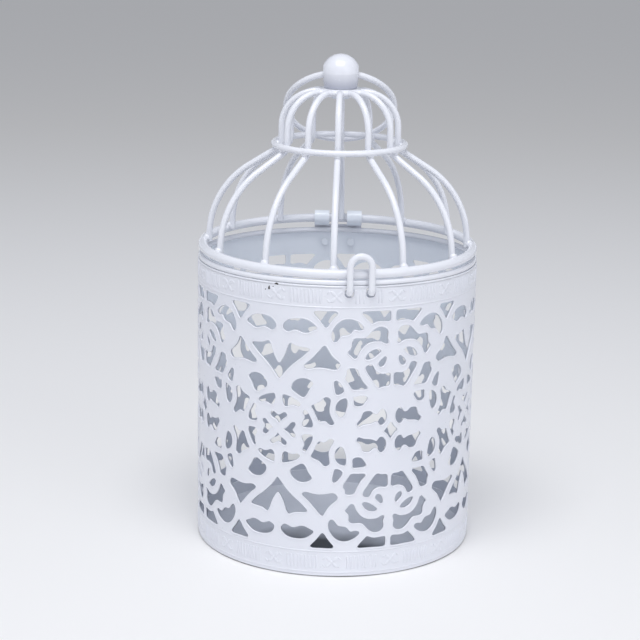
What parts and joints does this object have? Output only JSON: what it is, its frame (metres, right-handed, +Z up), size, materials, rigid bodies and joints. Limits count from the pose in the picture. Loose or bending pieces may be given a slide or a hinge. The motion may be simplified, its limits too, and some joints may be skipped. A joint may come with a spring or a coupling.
{
  "type": "birdcage-shaped card box",
  "caption": "Small round openwork metal box in birdcage shape, with a lace-cut wall, a hinged wire dome lid, a wire latch and a hanging ring, for cards or a small light.",
  "frame": {"origin": "centre of the underside, on the surface that the box stands on", "axes": "+Z up, -Y to the front where the latch is, +Y to the hinge, +X to the right seen from the front"},
  "size_m": [0.08, 0.0832, 0.1405],
  "materials": {
    "sheet_enamel": "gloss white enamel on punched steel sheet",
    "wire_enamel": "gloss white enamel on bent steel wire",
    "cast_enamel": "gloss white enamel on a turned knob",
    "rivet_enamel": "painted rivets"
  },
  "bodies": {
    "body": {"lace_wall": "sheet_enamel", "rim_bead": "wire_enamel", "base_plate": "sheet_enamel", "hinge_strap": "sheet_enamel", "hinge_rivets": "rivet_enamel"},
    "lid": {"lid_ring": "wire_enamel", "rib_01": "wire_enamel", "rib_02": "wire_enamel", "rib_03": "wire_enamel", "rib_04": "wire_enamel", "rib_05": "wire_enamel", "rib_06": "wire_enamel", "rib_07": "wire_enamel", "rib_08": "wire_enamel", "rib_09": "wire_enamel", "rib_10": "wire_enamel", "rib_11": "wire_enamel", "rib_12": "wire_enamel", "upper_ring": "wire_enamel", "crown_disc": "cast_enamel", "finial": "cast_enamel", "finial_stud": "rivet_enamel"},
    "hanger": {"hanging_ring": "wire_enamel"},
    "latch": {"latch_loop": "wire_enamel"}
  },
  "joints": [
    {"name": "lid_hinge", "type": "hinge", "parent": "body", "child": "lid", "pos_m": [0, 0.0383, 0.087], "axis": [-1, 0, 0], "range_deg": [0, 110]},
    {"name": "ring_swing", "type": "hinge", "parent": "lid", "child": "hanger", "pos_m": [0, -0.00101, 0.13518], "axis": [1, 0, 0], "range_deg": [0, 262]},
    {"name": "latch_rock", "type": "hinge", "parent": "body", "child": "latch", "pos_m": [0.00643, -0.04059, 0.08055], "axis": [0.9877, 0.1564, 0], "range_deg": [0, 15]}
  ]
}
